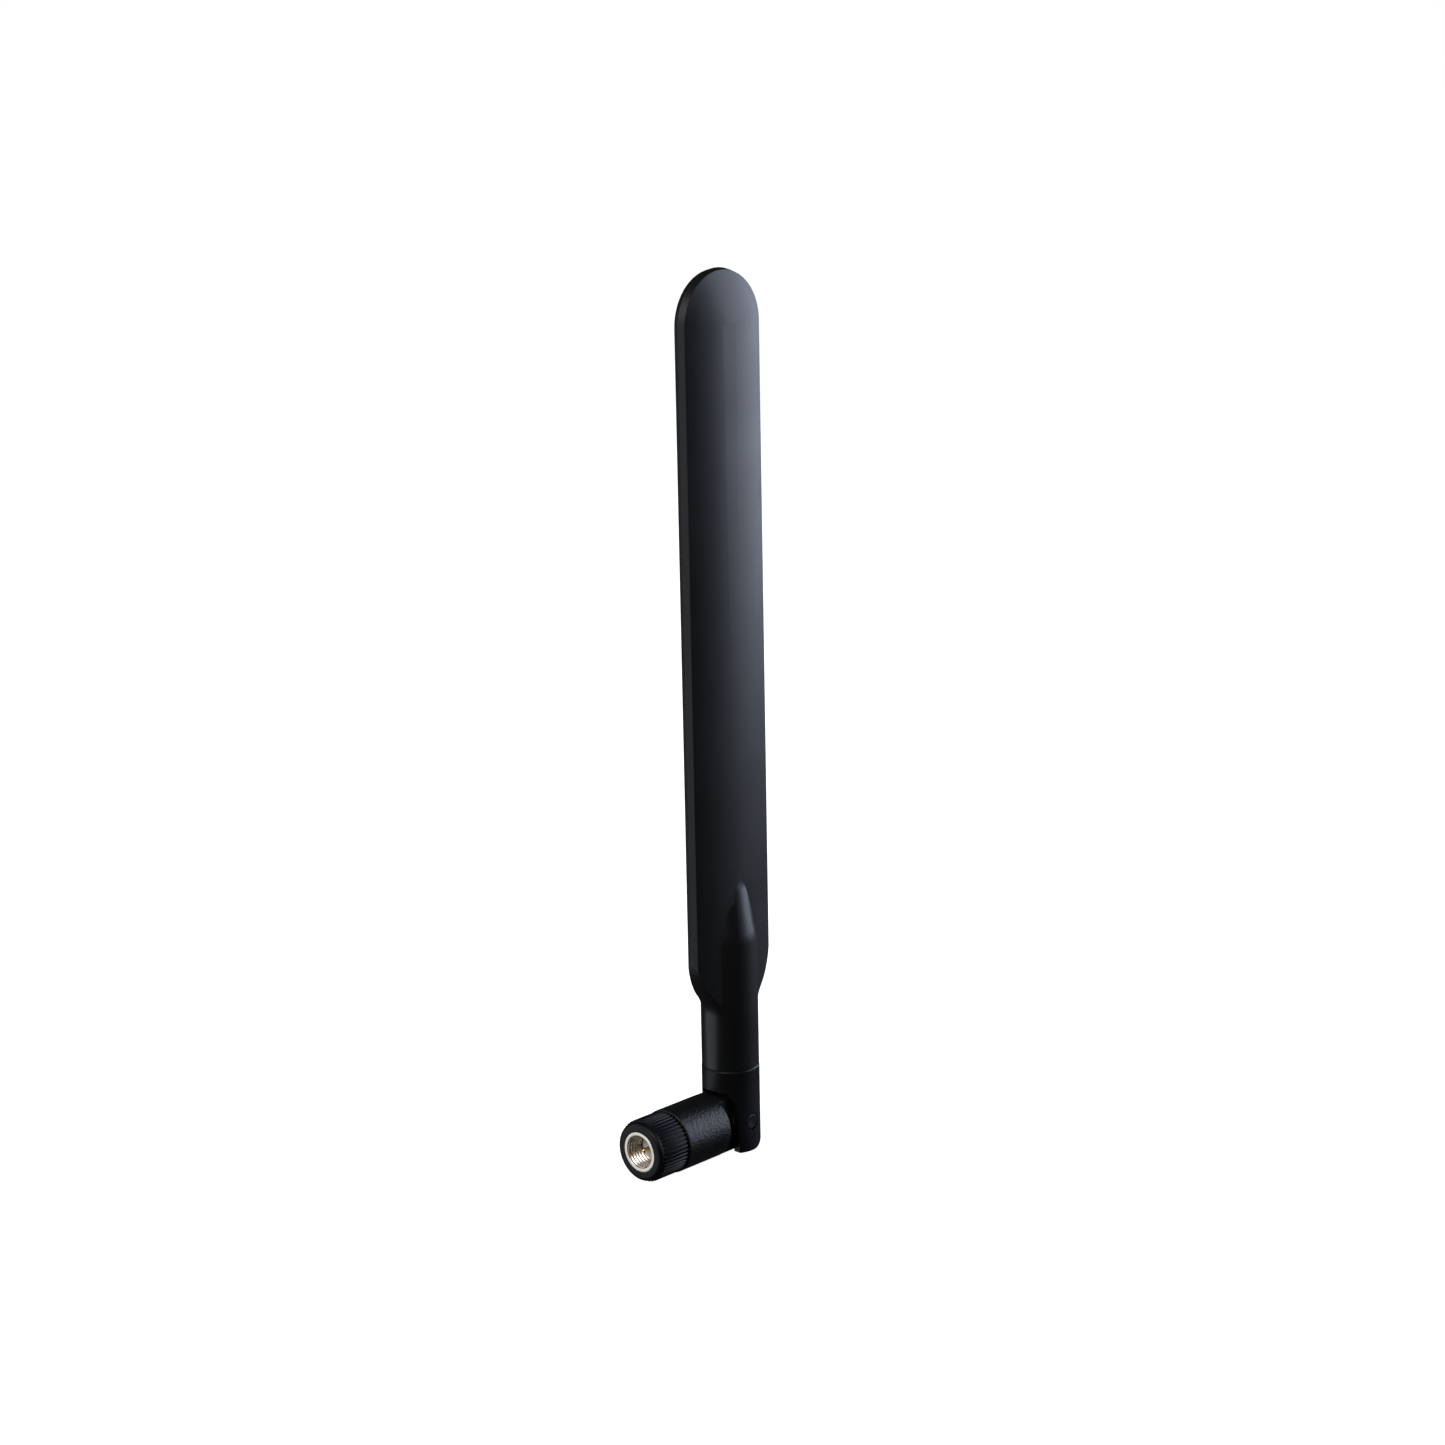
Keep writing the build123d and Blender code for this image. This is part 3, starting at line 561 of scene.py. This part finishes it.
# head with a shallow dish, given as (radius, share of the depth), and a rounded rim, over its shank
pin = {
    "radius": 1.0, "headRadius": 1.5, "headThickness": 0.68, "rim": 0.2, "rimAngles": (90, 67.5, 45, 22.5, 0),
    "dish": 0.05, "dishSlope": ((0.6, 0.8), (1.05, 0.2)), "corner": 0.05, "fillet": 0.04, "endRound": 0.15,
    "steps": 48,
}


def pinProfile(top, seat, end):
    # from the head's outer face down the shank, as distances out from the arm's middle
    shank, head, rim, dish = pin["radius"], pin["headRadius"], pin["rim"], pin["dish"]
    corner, fillet, endRound = pin["corner"], pin["fillet"], pin["endRound"]
    profile = [(top - dish, 0.0)] + [(top - dish * share, radius) for radius, share in pin["dishSlope"]]
    profile += [(top - rim + rim * math.sin(math.radians(a)), head - rim + rim * math.cos(math.radians(a)))
                for a in pin["rimAngles"]]
    profile += [(seat + corner, head), (seat, head - corner), (seat, shank + fillet), (seat - fillet, shank),
                (end + endRound, shank), (end, shank - endRound), (end, 0.0)]
    return profile


for node, side in (("hinge_pin_front", -1), ("hinge_pin_rear", 1)):
    low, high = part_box(node)
    outer = max(abs(low.y), abs(high.y)) / mm
    inner = min(abs(low.y), abs(high.y)) / mm
    profile = [(side * y, radius) for y, radius in pinProfile(outer, outer - pin["headThickness"], inner)]
    mesh = turnedMesh(node + "_turned", profile, pin["steps"], (hingeX / mm, 0.0, 0.0), "Y", closed=False)
    addPiece(node + "_turned", mesh, "blade", "black_pin", node)
print("tilt pins made")

nutLow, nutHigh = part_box("coupling_nut")
nut = {
    "face": nutLow.x / mm, "rear": nutHigh.x / mm, "flats": 8.0, "ringLength": 0.45, "faceRound": 0.14,
    "faceInset": 0.3, "corner": 0.02, "bore": 3.175, "entrance": 0.06, "threadEnd": 2.0, "pitch": 0.7056,
    "threadDepth": 0.26, "rootShare": 0.14, "flankShare": 0.66, "relief": 3.26,
    "steps": 120, "rowsPerTurn": 16,
}


def hexRadius(radius, angle):
    turned = math.fmod(angle, math.pi / 3) - math.pi / 6
    return radius / math.cos(turned)


# inner surface of the thread: each row of points follows the helix, and the crest fades out at both ends
def threadMesh():
    start, end, pitch = nut["face"] + nut["entrance"], nut["threadEnd"], nut["pitch"]
    perTurn, steps = nut["rowsPerTurn"], nut["steps"]
    count = perTurn * (math.ceil((end - start) / pitch) + 2)
    work = bmesh.new()
    rows = []
    for row in range(count + 1):
        ramp = abs((row / perTurn % 1.0) * 2 - 1)
        crest = min(max((ramp - nut["rootShare"]) / nut["flankShare"], 0.0), 1.0)
        line = []
        for step in range(steps):
            angle = 2 * math.pi * step / steps
            x = min(max(start + pitch * (row / perTurn - 1 + step / steps), start), end)
            fade = min(1.0, (x - start) / (pitch / 2), (end - x) / (pitch / 2))
            reach = nut["bore"] - nut["threadDepth"] * crest * fade
            line.append(work.verts.new((x * mm, reach * math.cos(angle) * mm, reach * math.sin(angle) * mm)))
        rows.append(line)
    for row in range(count):
        here, there = rows[row], rows[row + 1]
        for step in range(steps - 1):
            work.faces.new((here[step], here[step + 1], there[step + 1], there[step]))
        if row < count - perTurn:
            ahead = row + perTurn
            work.faces.new((here[-1], rows[ahead][0], rows[ahead + 1][0], there[-1]))
    return meshFrom(work, "thread")


def nutProfile():
    face, rear, half, bore = nut["face"], nut["rear"], nut["flats"] / 2, nut["bore"]
    corner, entrance, faceRound = nut["corner"], nut["entrance"], nut["faceRound"]
    ringEnd = face + nut["ringLength"]
    profile = [(face + entrance, bore), (face + corner, bore + entrance - corner),
               (face, bore + entrance + corner), (face, half - faceRound - nut["faceInset"])]
    profile += [(face + faceRound * (1 - math.cos(math.radians(a))),
                 half - faceRound * (1 - math.sin(math.radians(a)))) for a in (0, 30, 60, 90)]
    profile += [(ringEnd, half), (ringEnd, half, hexRadius), (rear, half, hexRadius), (rear, nut["relief"]),
                (nut["threadEnd"] + corner, nut["relief"]), (nut["threadEnd"], bore)]
    return profile


def joinMeshes(name, meshes, welded=False):
    work = bmesh.new()
    for mesh in meshes:
        work.from_mesh(mesh)
    if not welded:
        return meshFrom(work, name)
    bmesh.ops.remove_doubles(work, verts=work.verts, dist=weldGap)
    bmesh.ops.recalc_face_normals(work, faces=work.faces)
    return meshFrom(work, name, crease["threaded"])


nutShell = turnedMesh("nut_shell", nutProfile(), nut["steps"], closed=False)
nutMesh = joinMeshes("nut_turned", (nutShell, threadMesh()), welded=True)
addPiece("nut_turned", nutMesh, "collar", "nickel_nut", "coupling_nut")
print("coupling nut made with its thread")

gripLow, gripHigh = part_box("knurled_collar")
grip = {
    "face": gripLow.x / mm, "rear": gripHigh.x / mm, "radius": gripHigh.z / mm, "nutGap": 0.02,
    "faceInset": 0.5, "noseRadius": 5.75, "noseLength": 1.1, "noseRound": 0.85, "noseFlatten": 0.8,
    "noseCorner": 0.05, "rootRadius": 5.72, "rootDrop": 0.04, "rootLead": (0.02, 0.1),
    "rimRound": 0.12, "lip": 3.95, "lipFront": 3.7, "steps": 132,
}


def gripProfile():
    face, rear, half, root = grip["face"], grip["rear"], nut["flats"] / 2, grip["rootRadius"]
    nose, roundOff, corner = grip["noseRadius"], grip["noseRound"], grip["noseCorner"]
    noseEnd = face + grip["noseLength"]
    ringEnd = face + nut["ringLength"]
    leadStart, leadEnd = grip["rootLead"]
    profile = [(face, half + grip["nutGap"]), (face, nose - roundOff - grip["faceInset"])]
    profile += [(face + roundOff * (1 - math.sin(math.radians(a))) * grip["noseFlatten"],
                 nose - roundOff * (1 - math.cos(math.radians(a)))) for a in range(90, -1, -15)]
    profile += [(noseEnd - corner, nose), (noseEnd, nose - corner),
                (noseEnd + leadStart, root - grip["rootDrop"]), (noseEnd + leadEnd, root),
                (rear - grip["rimRound"], root), (rear, root - grip["rimRound"]),
                (rear, grip["lip"]), (grip["lipFront"], grip["lip"]), (grip["lipFront"], half, hexRadius),
                (ringEnd, half, hexRadius), (ringEnd, half + grip["nutGap"])]
    return profile


# shoulders are (outside the top's edge, below the crown); run-outs are (from the end, share of the height)
rib = {
    "count": 46, "base": 0.62, "top": 0.24, "sunk": 0.1, "belowRim": 0.01,
    "shoulders": ((0.05, 0.07), (-0.03, 0.015)),
    "frontRunOut": ((0.02, 0.55), (0.06, 0.85), (0.16, 1.0)),
    "rearRunOut": ((0.16, 1.0), (0.05, 0.85), (0.01, 0.55)),
}


# one rib of the grip, along X at the top of the collar: a rounded crown that runs out at both ends
def ribMesh():
    face, rear = grip["face"] + grip["noseLength"], grip["rear"]
    low, high = grip["rootRadius"] - rib["sunk"], grip["radius"] - rib["belowRim"]
    slope = [(rib["base"] / 2, low)] + [(rib["top"] / 2 + out, high - drop) for out, drop in rib["shoulders"]]
    section = [(-y, z) for y, z in slope] + [(0.0, high)] + slope[::-1]
    stations = [(face + gap, rise) for gap, rise in rib["frontRunOut"]]
    stations += [(rear - gap, rise) for gap, rise in rib["rearRunOut"]]
    work = bmesh.new()
    rings = [[work.verts.new((x * mm, y * mm, (low + (z - low) * rise) * mm)) for y, z in section]
             for x, rise in stations]
    bridgeRings(work, rings)
    capEnds(work, rings)
    bmesh.ops.recalc_face_normals(work, faces=work.faces)
    return meshFrom(work, "rib", crease["small"])


# repeats the object's own mesh evenly round X
def makeRoundArray():
    tree = bpy.data.node_groups.new("roundArray", "GeometryNodeTree")
    inputs = {"Geometry": "Geometry", "Count": "Int", "Start Angle": "Float", "Finish": "Material"}
    for label, kind in inputs.items():
        tree.interface.new_socket(label, in_out="INPUT", socket_type="NodeSocket" + kind)
    tree.interface.new_socket("Geometry", in_out="OUTPUT", socket_type="NodeSocketGeometry")
    given, result = addNode(tree, "NodeGroupInput", (-900, 0)), addNode(tree, "NodeGroupOutput", (700, 0))
    links = tree.links
    spots = addNode(tree, "GeometryNodePoints", (-600, 150))
    links.new(given.outputs["Count"], spots.inputs["Count"])
    number = addNode(tree, "GeometryNodeInputIndex", (-900, -250))
    share = calculate(tree, "DIVIDE", number.outputs[0], given.outputs["Count"], (-650, -200))
    turn = calculate(tree, "ADD", calculate(tree, "MULTIPLY", share, 2 * math.pi, (-450, -200)),
                     given.outputs["Start Angle"], (-250, -200))
    facing = addNode(tree, "ShaderNodeCombineXYZ", (-60, -200))
    links.new(turn, facing.inputs["X"])
    placed = addNode(tree, "GeometryNodeInstanceOnPoints", (100, 100))
    links.new(spots.outputs[0], placed.inputs["Points"])
    links.new(given.outputs["Geometry"], placed.inputs["Instance"])
    links.new(facing.outputs[0], placed.inputs["Rotation"])
    real = addNode(tree, "GeometryNodeRealizeInstances", (300, 100))
    links.new(placed.outputs[0], real.inputs[0])
    painted = addNode(tree, "GeometryNodeSetMaterial", (480, 100))
    links.new(real.outputs[0], painted.inputs["Geometry"])
    links.new(given.outputs["Finish"], painted.inputs["Material"])
    links.new(painted.outputs[0], result.inputs[0])
    return tree


def repeatRound(mesh, count, startAngle, finish):
    holder = bpy.data.objects.new("holder", mesh)
    bpy.context.scene.collection.objects.link(holder)
    array = holder.modifiers.new("roundArray", "NODES")
    array.node_group = makeRoundArray()
    wanted = {"Count": count, "Start Angle": startAngle, "Finish": finish}
    for item in array.node_group.interface.items_tree:
        if item.in_out == "INPUT" and item.name in wanted:
            array[item.identifier] = wanted[item.name]
    return bakeModifiers(holder)


gripBody = turnedMesh("grip_body", gripProfile(), grip["steps"])
gripRibs = repeatRound(ribMesh(), rib["count"], math.pi / rib["count"], finishes["gripBlack"])
addPiece("knurled_grip", joinMeshes("knurled_grip", (gripBody, gripRibs)), "collar", "black_grip",
         "knurled_collar")
print("knurled grip made with", rib["count"], "ribs")

contactLow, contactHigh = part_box("centre_contact")
contact = {
    "tip": contactLow.x / mm, "rear": contactHigh.x / mm, "radius": 0.46, "tipRadius": 0.16,
    "tipLength": 0.38, "tipFlatten": 0.6, "shoulder": (0.05, 0.045), "fillet": 0.03, "barrel": 0.63,
    "barrelCorner": 0.05, "cup": 0.155, "cupDepth": 1.2, "steps": 48,
}


# from the tip back; the barrel starts at the mating plane, where X is 0
def contactProfile():
    tip, rear, shoulder = contact["tip"], contact["rear"], contact["tip"] + contact["tipLength"]
    radius, barrel, tipRadius = contact["radius"], contact["barrel"], contact["tipRadius"]
    fillet, corner, cupEnd = contact["fillet"], contact["barrelCorner"], rear - contact["cupDepth"]
    lead, drop = contact["shoulder"]
    profile = [(tip, 0.0)]
    profile += [(tip + tipRadius * contact["tipFlatten"] * (1 - math.cos(math.radians(a))),
                 tipRadius * math.sin(math.radians(a))) for a in (25, 50, 75)]
    profile += [(shoulder - lead, radius - drop), (shoulder + fillet, radius), (-fillet, radius),
                (0.0, radius + fillet), (0.0, barrel - fillet), (fillet, barrel), (rear - corner, barrel),
                (rear, barrel - corner), (rear, contact["cup"]), (cupEnd, contact["cup"]), (cupEnd, 0.0)]
    return profile


addPiece("contact_turned", turnedMesh("contact_turned", contactProfile(), contact["steps"], closed=False),
         "arm", "gold_contact", "centre_contact")
print("centre contact made")

# the coax through the hinge, bent in one fixed shape: straight, a quarter turn, then straight up
cableLow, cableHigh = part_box("hinge_cable")
hingeCable = {"radius": (cableHigh.y - cableLow.y) / 2 / mm, "front": (cableLow.x - hingeX) / mm,
              "top": cableHigh.z / mm, "bend": 5.4, "turns": 18, "straights": 6, "sides": 24}


def hingeCablePath():
    # distances from the tilt pins along X and Z, with the path's heading
    bend, turns, straights = hingeCable["bend"], hingeCable["turns"], hingeCable["straights"]
    path = [(hingeCable["front"], 0.0, 0.0)]
    for step in range(turns + 1):
        heading = math.pi / 2 * step / turns
        path.append((bend * (math.sin(heading) - 1), bend * (1 - math.cos(heading)), heading))
    rest = hingeCable["top"] - bend
    path += [(0.0, bend + rest * step / straights, math.pi / 2) for step in range(1, straights + 1)]
    return path


def hingeCableMesh():
    radius, sides = hingeCable["radius"], hingeCable["sides"]
    work = bmesh.new()
    rings = []
    for x, z, heading in hingeCablePath():
        ring = []
        for side in range(sides):
            angle = 2 * math.pi * side / sides
            out = radius * math.cos(angle)
            ring.append(work.verts.new((hingeX + (x - out * math.sin(heading)) * mm,
                                        radius * math.sin(angle) * mm, (z + out * math.cos(heading)) * mm)))
        rings.append(ring)
    bridgeRings(work, rings)
    capEnds(work, rings)
    bmesh.ops.recalc_face_normals(work, faces=work.faces)
    return meshFrom(work, "hinge_cable_bent", crease["small"])


cablePiece = addPiece("hinge_cable_bent", hingeCableMesh(), None, "cable_jacket", "hinge_cable")
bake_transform(cablePiece)
print("hinge cable made")

# pale floor just under the knuckle: size in metres, drop in millimetres
floorSpec = {"size": 60.0, "drop": 0.05, "tone": (0.93, 0.93, 0.93), "roughness": 0.9, "glow": 0.97}
floorMaterial = bpy.data.materials.new("paleFloor")
floorMaterial.use_nodes = True
floorShader = floorMaterial.node_tree.nodes["Principled BSDF"]
floorShader.inputs["Base Color"].default_value = (*floorSpec["tone"], 1.0)
floorShader.inputs["Roughness"].default_value = floorSpec["roughness"]
floorShader.inputs["Emission Color"].default_value = (1.0, 1.0, 1.0, 1.0)
floorShader.inputs["Emission Strength"].default_value = floorSpec["glow"]
half, level = floorSpec["size"] / 2, cadBounds[0][2] - floorSpec["drop"] * mm
floorMesh = bpy.data.meshes.new("floor")
corners = [(-half, -half, level), (half, -half, level), (half, half, level), (-half, half, level)]
floorMesh.from_pydata(corners, [], [(0, 1, 2, 3)])
floorMesh.materials.append(floorMaterial)
floor = bpy.data.objects.new("floor", floorMesh)
bpy.context.scene.collection.objects.link(floor)
floor.visible_glossy = False
floor.visible_shadow = False
floor.visible_diffuse = False

# bearing is the direction of the camera's target seen from the camera, clockwise from +Y, in degrees
camera = {"bearing": 46.687, "elevation": 13.969, "roll": -1.092, "distance": 600.0, "lens": 78.80,
          "sensor": 36.0, "nearest": 10.0, "aim": (22.55, 0.0, 79.22), "aimShift": -0.30}
bearing, rise, roll = (math.radians(camera[key]) for key in ("bearing", "elevation", "roll"))
back = Vector((-math.sin(bearing) * math.cos(rise), -math.cos(bearing) * math.cos(rise), math.sin(rise)))
right = Vector((0, 0, 1)).cross(back).normalized()
up = back.cross(right)
rolledRight = right * math.cos(roll) + up * math.sin(roll)
rolledUp = up * math.cos(roll) - right * math.sin(roll)
aim = (Vector(camera["aim"]) + right * camera["aimShift"]) * mm
viewer = bpy.data.objects.new("viewer", bpy.data.cameras.new("viewer"))
viewer.data.lens = camera["lens"]
viewer.data.sensor_width = camera["sensor"]
viewer.data.clip_start = camera["nearest"] * mm
turnMatrix = Matrix((rolledRight, rolledUp, back)).transposed().to_4x4()
viewer.matrix_world = Matrix.Translation(aim + back * camera["distance"] * mm) @ turnMatrix
bpy.context.scene.collection.objects.link(viewer)
bpy.context.scene.camera = viewer

# panel directions in degrees anticlockwise from +X and above the horizon, sizes and distance in metres
lights = {
    "keyPanel": {"toward": (-23, 14.5), "distance": 0.9, "size": (1.0, 0.82),
                 "radiance": 3.35, "tint": (0.73, 0.81, 1.0)},
    "sidePanel": {"toward": (-62, 16), "distance": 0.9, "size": (0.40, 0.84),
                  "radiance": 0.8, "tint": (0.73, 0.83, 1.0)},
    "backPanel": {"toward": (140, 2), "distance": 1.0, "size": (1.0, 1.3),
                  "radiance": 0.95, "tint": (0.90, 0.95, 1.0)},
    "mouthPanel": {"toward": (194, 38), "distance": 0.8, "size": (0.6, 0.5),
                   "radiance": 3.4, "tint": (1.0, 0.98, 0.96)},
    "topPanel": {"toward": (-90, 80), "distance": 1.1, "size": (1.0, 1.0),
                 "radiance": 0.2, "tint": (1.0, 1.0, 1.0)},
}
lightsAimHeight = 0.07
middle = Vector((hingeX, 0.0, lightsAimHeight))
for name, spec in lights.items():
    panel = bpy.data.lights.new(name, "AREA")
    panel.shape = "RECTANGLE"
    panel.size, panel.size_y = spec["size"]
    panel.energy = spec["radiance"] * math.pi * spec["size"][0] * spec["size"][1]
    panel.color = spec["tint"]
    lamp = bpy.data.objects.new(name, panel)
    turn, height = (math.radians(angle) for angle in spec["toward"])
    toward = Vector((math.cos(turn) * math.cos(height), math.sin(turn) * math.cos(height), math.sin(height)))
    lamp.location = middle + toward * spec["distance"]
    lamp.rotation_euler = toward.to_track_quat("Z", "Y").to_euler()
    lamp.visible_camera = False
    bpy.context.scene.collection.objects.link(lamp)

# white behind everything the camera sees, a dim room for everything that reflects it
roomSpec = {"seen": 1.0, "reflected": 0.03}
room = bpy.data.worlds.new("room")
bpy.context.scene.world = room
room.use_nodes = True
roomTree = room.node_tree
ground = roomTree.nodes["Background"]
path = addNode(roomTree, "ShaderNodeLightPath", (-500, 0))
strength = rangeOf(roomTree, path.outputs["Is Camera Ray"], 0.0, 1.0,
                   roomSpec["reflected"], roomSpec["seen"], (-250, 0))
roomTree.links.new(strength, ground.inputs["Strength"])
ground.inputs["Color"].default_value = (1.0, 1.0, 1.0, 1.0)
bpy.context.scene.view_settings.view_transform = "Standard"
print("camera, lights and floor placed")
